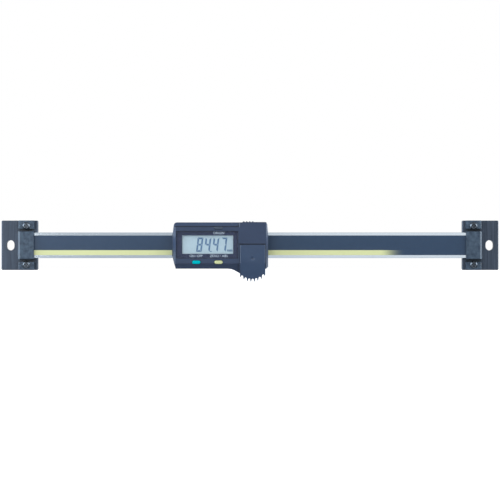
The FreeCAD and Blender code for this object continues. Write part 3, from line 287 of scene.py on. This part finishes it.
ground, tree, shader = start("ground_stainless_steel", "#dfe8f0", 0.14, {"Metallic": 1.0})
scratches = pattern(tree, (SCRATCH_LENGTH, SCRATCH_WIDTH, SCRATCH_WIDTH), FINE)
relief(tree, shader, scratches, SCRATCH_DEPTH)
gloss(tree, shader, scratches, 0.1, 0.18)
tint(tree, shader, scratches, "#dee8f0", "#ecf4fb")
dress(ground, "beam")

# %% [markdown]
# ## The printed film
# A polyester film covers the electrode strip in the beam's groove. It is printed from behind in dark
# blue, with a pale yellow stripe along its lower part that fades out near the right-hand bracket. A
# picture could be laid on it, but the stripe is simple enough to be drawn by height and its fade by
# length, from the film's own coordinates, so it stays sharp at any distance. The film's smooth front lies
# in soft waves over its glue, which ripple its reflections.

# %% Film with its stripe
STRIPE_TOP = -3.05 * MM
FADE_START = 81 * MM
FADE_END = 101.5 * MM
FADE_TAIL = 2.7              # above 1, the ink thins out slowly at the end
EDGE_BLUR = 0.05 * MM        # ink spread at the stripe's edge
FILM_WAVES = (3, 3, 3)       # from wave to wave, as on the real film
FILM_WAVE_DEPTH = 0.002
STRIPE_EDGE = {"From Min": STRIPE_TOP + EDGE_BLUR, "From Max": STRIPE_TOP - EDGE_BLUR}

film, tree, shader = start("printed_polyester_film", "#33435a", 0.3,
                           {"IOR": 1.57, "Specular IOR Level": 0.38})
where = add(tree, "ShaderNodeTexCoord")
axes = add(tree, "ShaderNodeSeparateXYZ", {}, [("Vector", where.outputs["Object"])])
below = add(tree, "ShaderNodeMapRange", STRIPE_EDGE, [("Value", axes.outputs["Z"])])
fade = add(tree, "ShaderNodeMapRange", {"From Min": FADE_END, "From Max": FADE_START},
           [("Value", axes.outputs["X"])], interpolation_type="SMOOTHSTEP")
thinned = add(tree, "ShaderNodeMath", {1: FADE_TAIL}, [(0, fade.outputs["Result"])], operation="POWER")
stripe = add(tree, "ShaderNodeMath", {}, [(0, below.outputs["Result"]), (1, thinned.outputs["Value"])],
             operation="MULTIPLY")
waves = pattern(tree, FILM_WAVES)
span = add(tree, "ShaderNodeMapRange", NOISE_SPAN, [("Value", waves.outputs["Fac"])])
ink = add(tree, "ShaderNodeMixRGB", {"Color1": linear("#243951"), "Color2": linear("#263b53")},
          [("Fac", span.outputs["Result"])])
printed = add(tree, "ShaderNodeMixRGB", {"Color2": linear("#c9cc97")},
              [("Fac", stripe.outputs["Value"]), ("Color1", ink.outputs["Color"])])
tree.links.new(printed.outputs["Color"], shader.inputs["Base Color"])
relief(tree, shader, waves, FILM_WAVE_DEPTH)
gloss(tree, shader, waves, 0.3, 0.34)
dress(film, "scale_film")

# %% [markdown]
# ## Black brackets
# The bracket plates are aluminium, brushed across the beam and anodised black. Brushing shows as upright
# streaks of lighter and darker grey. The real lines are about 0.1 mm wide and are drawn wider, to show.
# The clamps over the beam ends are milled steel with black paint, which dries with a soft mottling, in
# patches a few millimetres wide. Their screws are blackened in a hot oxide bath, which leaves a dark
# metal with cloudy gloss. Little light reaches the foot of a groove, so clamps and screws get painted
# shade too: their colour is darkened in narrow corners.

# %% Anodised plates
BRUSH_LINES = (0.6, 0.6, 24)    # wider than the real lines, to show
BRUSH_DEPTH = 0.01

anodised, tree, shader = start("black_anodised_brushed_aluminium", "#3d4650", 0.38, {"Metallic": 0.35})
brush = pattern(tree, BRUSH_LINES, FINE)
relief(tree, shader, brush, BRUSH_DEPTH)
gloss(tree, shader, brush, 0.3, 0.48)
tint(tree, shader, brush, "#2a3442", "#424c5b")
dress(anodised, "left_bracket_base", "right_bracket_base")

# %% Painted clamps
MOTTLE = (2.4, 2.4, 2.4)     # patches in the paint, at their real size
MOTTLE_DEPTH = 0.02
CLAMP_GROOVE_SHADE = 3             # painted shade darkens corners narrower than this

painted, tree, shader = start("black_painted_milled_steel", "#40505f", 0.4,
                              {"IOR": 1.5, "Specular IOR Level": 0.35})
mottle = pattern(tree, MOTTLE, FINE)
relief(tree, shader, mottle, MOTTLE_DEPTH)
gloss(tree, shader, mottle, 0.32, 0.5)
tint(tree, shader, mottle, "#283646", "#445464", CLAMP_GROOVE_SHADE)
dress(painted, "left_beam_clamp", "right_beam_clamp")

# %% Blackened screws
OXIDE_CLOUDS = (0.6, 0.6, 0.6)    # coarser than the oxide's crystals, to show
SCREW_RECESS_SHADE = 1             # painted shade darkens corners narrower than this

blackened, tree, shader = start("black_oxide_steel", "#585e66", 0.3, {"Metallic": 1.0})
oxide = pattern(tree, OXIDE_CLOUDS)
gloss(tree, shader, oxide, 0.22, 0.42)
tint(tree, shader, oxide, "#4c525a", "#6a7179", SCREW_RECESS_SHADE)
dress(blackened, "left_clamp_screws", "right_clamp_screws", "gib_screws")

# %% [markdown]
# ## The display
# A reflective liquid-crystal display is a glass cell over a grey foil, whose fine grain spreads the
# light. Behind the clear acrylic window lies a black printed mask with an opening over the cell. The
# window is flat, so a Glass shader, which bends light and is slow, isn't needed: it is enough to let
# light straight through and to add the mirror reflection of its front, with a Transparent shader under a
# thin Fresnel gloss. The gloss is left off where a ray leaves through the back of the sheet, or it would
# hold light in.

# %% Window
ACRYLIC_IOR = 1.49

window, tree, shader = start("clear_acrylic", "#ffffff", 0.04, {"Metallic": 1.0})
clear = add(tree, "ShaderNodeBsdfTransparent", {"Color": WHITE})
mirror = add(tree, "ShaderNodeFresnel", {"IOR": ACRYLIC_IOR})
surface = add(tree, "ShaderNodeNewGeometry")
outside = add(tree, "ShaderNodeMath", {0: 1.0}, [(1, surface.outputs["Backfacing"])],
              operation="SUBTRACT")
glint = add(tree, "ShaderNodeMath", {}, [(0, mirror.outputs["Fac"]), (1, outside.outputs["Value"])],
            operation="MULTIPLY")
pane = add(tree, "ShaderNodeMixShader", {}, [
    (0, glint.outputs["Value"]),
    (1, clear.outputs["BSDF"]),
    (2, shader.outputs["BSDF"]),
])
tree.links.new(pane.outputs["Shader"], tree.nodes["Material Output"].inputs["Surface"])
dress(window, "display_window")

# %% Mask and cell
PRINT_SPECKS = (0.8, 0.8, 0.8)    # coarser than the dots of a screen print, to show
FOIL_GRAIN = (0.7, 0.7, 0.7)      # coarser than the real grain of the foil, to show
BONDED_IOR = 1.1             # the mask is bonded to the window, and such a joint hardly reflects

mask, tree, shader = start("black_printed_film", "#2f364d", 0.4, {"IOR": BONDED_IOR})
specks = pattern(tree, PRINT_SPECKS)
tint(tree, shader, specks, "#2d344a", "#313850")
gloss(tree, shader, specks, 0.36, 0.46)
dress(mask, "display_mask")

cell, tree, shader = start("reflective_display_glass", "#b0c5cf", 0.4, {"Metallic": 0.5})
foil = pattern(tree, FOIL_GRAIN)
tint(tree, shader, foil, "#acc1cb", "#b4c9d3")
gloss(tree, shader, foil, 0.36, 0.46)
dress(cell, "lcd_panel")

# %% [markdown]
# ## Inside and behind
# The frame that runs on the beam is die-cast zinc, painted dark grey. Its rear plate is brushed stainless
# steel and its screws are zinc-plated. Inside are a glass-epoxy board, a nickel-plated cell with plated
# springs, gold-plated pins and rubber contacts. Most of this shows only from behind, or when a cover is
# slid off, so one noise for each is enough: it raises the surface and shifts its gloss and its colour.
# Grain finer than half a millimetre on the real piece is drawn coarser, to show.

# %% Metals of the slider
SMOOTHER = -0.06             # the noise makes the roughness wander from here
ROUGHER = 0.08               # to here
METAL_DEPTH = 0.004
METALS = {                   # colours, roughness, noise cell in millimetres, nodes
    # brush lines along the plate, with a soft sheen across them
    "brushed_stainless_plate": ("#babec2", "#cbced1", 0.3, (30, 0.2, 0.2), ["rear_plate"]),
    # a bright, slightly cloudy coat
    "zinc_plated_steel": ("#b9bcbd", "#d0d2d2", 0.28, (0.5, 0.5, 0.5), ["assembly_screws"]),
    # warm yellow-brown, with grinding lines along the strip
    "ground_bronze": ("#a8824c", "#bd9760", 0.35, (20, 0.3, 0.3), ["gib"]),
    # an even, slightly warm shine
    "nickel_plated_steel": ("#cbc9c3", "#d6d4ce", 0.24, (6, 6, 6), ["battery"]),
    # rolled strip, so fine upright lines show through the plating
    "nickel_plated_spring_brass": ("#bdb49a", "#cfc6ad", 0.28, (0.3, 0.3, 8),
                                   ["battery_negative_contact", "battery_positive_contact"]),
    # a yellow shine
    "gold_plated_brass": ("#e0b655", "#eac46a", 0.22, (0.4, 0.4, 0.4), ["connector_pins"]),
    # dull grey sheet
    "pressed_switch_steel": ("#a9adb0", "#bfc3c5", 0.35, (0.6, 0.6, 0.6), ["key_switches"]),
}


def dress_inside(table, depth, values=None):
    """Give each row of a table a finish with one noise for relief, gloss and tint."""
    for name, (dark, light, roughness, size, nodes) in table.items():
        made, tree, shader = start(name, dark, roughness, values)
        noise = pattern(tree, size)
        relief(tree, shader, noise, depth)
        gloss(tree, shader, noise, roughness + SMOOTHER, roughness + ROUGHER)
        tint(tree, shader, noise, dark, light)
        dress(made, *nodes)


dress_inside(METALS, METAL_DEPTH, {"Metallic": 1.0})

# %% Paint, plastics and boards of the slider
INNER_DEPTH = 0.01
INNER = {                    # colours, roughness, noise cell in millimetres, nodes
    # thick paint over the casting, a little uneven
    "painted_die_cast_zinc": ("#2c3036", "#363b42", 0.45, (1.2, 1.2, 1.2), ["slider_frame"]),
    # a matt black with fine grain
    "moulded_nylon_black": ("#1c1e22", "#24262b", 0.5, (0.6, 0.6, 0.6),
                            ["lcd_holder", "output_connector"]),
    # sooty and quite dull
    "conductive_rubber": ("#2a2a2c", "#343436", 0.7, (0.5, 0.5, 0.5), ["contact_strips"]),
    # green lacquer over the weave of the glass cloth
    "glass_epoxy_laminate": ("#1f5a36", "#2a6b42", 0.4, (0.8, 0.8, 0.8),
                             ["circuit_board", "electrode_strip"]),
    # the matt black of a chip's case
    "moulded_epoxy": ("#1b1c1e", "#26282b", 0.5, (0.4, 0.4, 0.4), ["controller_chip"]),
}

dress_inside(INNER, INNER_DEPTH)

# %% [markdown]
# ## Rounded edges
# A moulded or machined edge is never quite sharp, and its small round catches a line of light. Rounding
# the solids themselves would make them heavy, so modifiers do it here. The solids come as triangles with
# split corners, so three modifiers follow each other: Weld joins the corners, Decimate merges flat
# triangles into whole faces, and Bevel rounds what still meets at an angle. Weighted normals keep the
# flats flat.

# %% Soften the edges
WELD_REACH = 0.001           # millimetres
FLAT_ANGLE = 0.5             # degrees: triangles that meet at less lie in one face
SHARP_ANGLE = 25             # degrees: faces that meet at more have an edge
ROUND_STEPS = 2
FLAT_WEIGHT = 100            # how far large faces win over small ones
EDGES = {                    # rounding in millimetres
    "front_housing": 0.18,
    "battery_cover": 0.12,
    "port_cover": 0.12,
    "power_button": 0.12,
    "zero_button": 0.12,
    "origin_button": 0.1,
    "left_bracket_base": 0.15,
    "right_bracket_base": 0.15,
    "left_beam_clamp": 0.22,
    "right_beam_clamp": 0.22,
    "left_clamp_screws": 0.08,
    "right_clamp_screws": 0.08,
    "slider_frame": 0.15,
    "rear_plate": 0.15,
}


def soften(name, rounding):
    """Round a node's edges by modifiers."""
    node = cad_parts[name]
    weld = node.modifiers.new("joined_corners", "WELD")
    weld.merge_threshold = WELD_REACH * MM
    flat = node.modifiers.new("whole_faces", "DECIMATE")
    flat.decimate_type = "DISSOLVE"
    flat.angle_limit = math.radians(FLAT_ANGLE)
    bevel = node.modifiers.new("rounded_edges", "BEVEL")
    bevel.width = rounding * MM
    bevel.segments = ROUND_STEPS
    bevel.limit_method = "ANGLE"
    bevel.angle_limit = math.radians(SHARP_ANGLE)
    bevel.use_clamp_overlap = True
    normals = node.modifiers.new("flat_flats", "WEIGHTED_NORMAL")
    normals.weight = FLAT_WEIGHT


for name, rounding in EDGES.items():
    soften(name, rounding)
print("softened:", len(EDGES))

# %% [markdown]
# ## The reading
# The digits are dark segments in the liquid crystal, seven to a digit, leaning to the right. They look
# blue-grey, not black, because the foil behind them still shines through. A segment font could be typed,
# but not with these proportions. Each segment is a flat bar whose ends are cut at 45 degrees, and the
# upright ones are mirror images of each other. So three outlines, two mirrors and a table of which bars
# each digit lights are all that is needed.

# %% Sizes of the digits
DIGIT_WIDTH = 3.6            # millimetres, as are the sizes below
DIGIT_HEIGHT = 8.9
STROKE = 1.08
SEGMENT_GAP = 0.1
LEAN = math.tan(math.radians(7))    # sideways for each millimetre of height
DIGIT_PITCH = 4.96
FIRST_DIGIT = -33.55         # left end of the reading, from the scale's middle
READING_BOTTOM = -4.1
READING = "8447"
SEGMENTS_LIT = {"8": "abcdefg", "4": "bcfg", "7": "abc"}
print("reading", round(DIGIT_PITCH * (len(READING) - 1) + DIGIT_WIDTH, 2), "mm wide")


# %% The bars of a digit
def flip_across(corners):
    """The same bar on the other side of the digit."""
    return [(DIGIT_WIDTH - u, v) for u, v in corners]


def flip_upright(corners):
    """The same bar in the other half of the digit's height."""
    return [(u, DIGIT_HEIGHT - v) for u, v in corners]


def digit_bars():
    """The seven bars of a digit by letter, clockwise from the top, cut at 45 degrees where they meet."""
    wide, tall, middle = DIGIT_WIDTH, DIGIT_HEIGHT, DIGIT_HEIGHT / 2
    half, inner = STROKE / 2, STROKE + SEGMENT_GAP
    top = [(SEGMENT_GAP, tall), (wide - SEGMENT_GAP, tall),
           (wide - inner, tall - STROKE), (inner, tall - STROKE)]
    centre = [(half + SEGMENT_GAP, middle), (inner, middle + half), (wide - inner, middle + half),
              (wide - half - SEGMENT_GAP, middle), (wide - inner, middle - half), (inner, middle - half)]
    upright = [(0, tall - SEGMENT_GAP), (STROKE, tall - inner), (STROKE, middle + half + SEGMENT_GAP),
               (half, middle + SEGMENT_GAP), (0, middle + SEGMENT_GAP)]
    return {
        "a": top,
        "b": flip_across(upright),
        "c": flip_across(flip_upright(upright)),
        "d": flip_upright(top),
        "e": flip_upright(upright),
        "f": upright,
        "g": centre,
    }


bars = digit_bars()
print("bars:", len(bars))

# %% A thin printed piece on the slider
INK_THICKNESS = 0.01


def put_on_slider(name, mesh, material):
    """Show a mesh as a piece that moves with the slider."""
    mesh.materials.clear()
    mesh.materials.append(material)
    piece = bpy.data.objects.new(name, mesh)
    scene.collection.objects.link(piece)
    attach(piece, "slider")
    print(name, "has", len(mesh.polygons), "faces")


def flat_piece(name, outlines, depth, material):
    """Thin piece from outlines of (x, z) millimetres, with its back at a depth."""
    mesh = bpy.data.meshes.new(name)
    build = bmesh.new()
    for corners in outlines:
        back, front = ([build.verts.new((x * MM, -y * MM, z * MM)) for x, z in corners]
                       for y in (depth, depth + INK_THICKNESS))
        build.faces.new(back)
        build.faces.new(front)
        for place in range(len(corners)):
            build.faces.new([back[place - 1], back[place], front[place], front[place - 1]])
    bmesh.ops.recalc_face_normals(build, faces=build.faces)
    build.to_mesh(mesh)
    build.free()
    put_on_slider(name, mesh, material)


# %% Four digits
FLUID_CLOUDS = (0.5, 0.5, 0.5)    # coarser than the grain of the foil behind, to show

segment_ink, tree, shader = start("liquid_crystal_segment", "#486b8f", 0.35, {"IOR": 1.52})
fluid = pattern(tree, FLUID_CLOUDS)
tint(tree, shader, fluid, "#44678b", "#4e7195")

glass_front = -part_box("lcd_panel")[0].y / MM
for place, digit in enumerate(READING):
    left = FIRST_DIGIT + DIGIT_PITCH * place
    outlines = [[(left + u + v * LEAN, READING_BOTTOM + v) for u, v in bars[letter]]
                for letter in SEGMENTS_LIT[digit]]
    flat_piece("reading_digit_" + str(place + 1), outlines, glass_front, segment_ink)
print("reading at depth", round(glass_front, 2), "mm")

# %% The decimal point
POINT_WIDTH = 1.1
POINT_HEIGHT = 0.6
POINT_BEFORE = 2             # digits in front of it
POINT_SETBACK = 1.25         # from the start of the digit behind it

point_left = FIRST_DIGIT + DIGIT_PITCH * POINT_BEFORE - POINT_SETBACK
point = [(0, 0), (POINT_WIDTH, 0), (POINT_WIDTH, POINT_HEIGHT), (0, POINT_HEIGHT)]
outline = [(point_left + u + v * LEAN, READING_BOTTOM + v) for u, v in point]
flat_piece("reading_point", [outline], glass_front, segment_ink)

# %% [markdown]
# ## Printed words
# The words on the mask say what the buttons do, and are screen-printed: an even, matt coat of ink with
# crisp edges. A text object gives their outlines. It is turned into a mesh and scaled to the box that the
# print fills, so the result doesn't depend on how the font measures itself. The unit on the display is
# made the same way, with bolder strokes.

# %% Lettering
LETTER_DEPTH = 0.01          # only tells front from back, until the ink's thickness is set
CURVE_STEPS = 3              # straight steps in each curve of a letter


def lettering(name, words, x_range, z_range, depth, material, weight=0.0):
    """Words as a thin mesh that fills a box given in millimetres."""
    text = bpy.data.curves.new(name, "FONT")
    text.body = words
    text.extrude = LETTER_DEPTH
    text.offset = weight
    text.resolution_u = CURVE_STEPS
    holder = bpy.data.objects.new(name + "_outline", text)
    scene.collection.objects.link(holder)
    bpy.context.view_layer.update()
    mesh = bpy.data.meshes.new_from_object(holder.evaluated_get(bpy.context.evaluated_depsgraph_get()))
    bpy.data.objects.remove(holder)
    across = [vertex.co.x for vertex in mesh.vertices]
    upward = [vertex.co.y for vertex in mesh.vertices]
    width, height = max(across) - min(across), max(upward) - min(upward)
    for vertex in mesh.vertices:
        x = x_range[0] + (vertex.co.x - min(across)) / width * (x_range[1] - x_range[0])
        z = z_range[0] + (vertex.co.y - min(upward)) / height * (z_range[1] - z_range[0])
        y = depth + (INK_THICKNESS if vertex.co.z > 0 else 0)
        vertex.co = (x * MM, -y * MM, z * MM)
    mesh.name = name
    put_on_slider(name, mesh, material)


# %% The unit and the legends
INK_SPECKS = (0.3, 0.3, 0.3)    # coarser than the ink's pigment, to show
BOLD = 0.05                  # thickens the strokes of a letter, in parts of its height
UNIT_ACROSS = (-14.2, -10.9)
UNIT_UPWARD = (-3.95, -2.65)
LEGENDS = {                  # words, and the box that they fill, across and upward, in millimetres
    "legend_origin": ("ORIGIN", (-22.7, -16.0), (6.85, 8.35)),
    "legend_on_off": ("ON / OFF", (-37.4, -29.4), (-7.35, -5.85)),
    "legend_zero_abs": ("ZERO / ABS", (-24.9, -13.8), (-7.35, -5.85)),
}

legend_ink, tree, shader = start("screen_printed_white_ink", "#b4c3d2", 0.55, {"IOR": 1.5})
dots = pattern(tree, INK_SPECKS)
tint(tree, shader, dots, "#acbccc", "#becbd8")

mask_front = -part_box("display_mask")[0].y / MM
lettering("unit_mm", "mm", UNIT_ACROSS, UNIT_UPWARD, glass_front, segment_ink, BOLD)
for name, (words, across, upward) in LEGENDS.items():
    lettering(name, words, across, upward, mask_front, legend_ink)
print("legends at depth", round(mask_front, 2), "mm")

# %% [markdown]
# ## The floor
# A plain pale floor lies below the lowest place that the battery cover reaches. It is part of the studio,
# not of the object. The camera sees white paper that glows a little, as on a light table, so that it
# meets the white behind it without a line. To all other rays it is a grey sheet, or its glow would light
# the object from below.

# %% Floor
FLOOR_Z = -45 * MM
FLOOR_HALF = 3.0             # metres from its middle to a side
PAPER_GLOW = 0.8

floor_mesh = bpy.data.meshes.new("studio_floor")
corners = [(-FLOOR_HALF, -FLOOR_HALF), (FLOOR_HALF, -FLOOR_HALF), (FLOOR_HALF, FLOOR_HALF),
           (-FLOOR_HALF, FLOOR_HALF)]
floor_mesh.from_pydata([(x, y, FLOOR_Z) for x, y in corners], [], [(0, 1, 2, 3)])
floor = bpy.data.objects.new("studio_floor", floor_mesh)
paper, tree, shader = start("pale_paper_sweep", "#f4f5f6", 0.8, {
    "Emission Color": WHITE,
    "Emission Strength": PAPER_GLOW,
})
grey = add(tree, "ShaderNodeBsdfDiffuse", {"Color": linear("#a8aaae")})
ray = add(tree, "ShaderNodeLightPath")
sheet = add(tree, "ShaderNodeMixShader", {}, [
    (0, ray.outputs["Is Camera Ray"]),
    (1, grey.outputs["BSDF"]),
    (2, shader.outputs["BSDF"]),
])
tree.links.new(sheet.outputs["Shader"], tree.nodes["Material Output"].inputs["Surface"])
floor_mesh.materials.append(paper)
scene.collection.objects.link(floor)
print("floor at", FLOOR_Z)
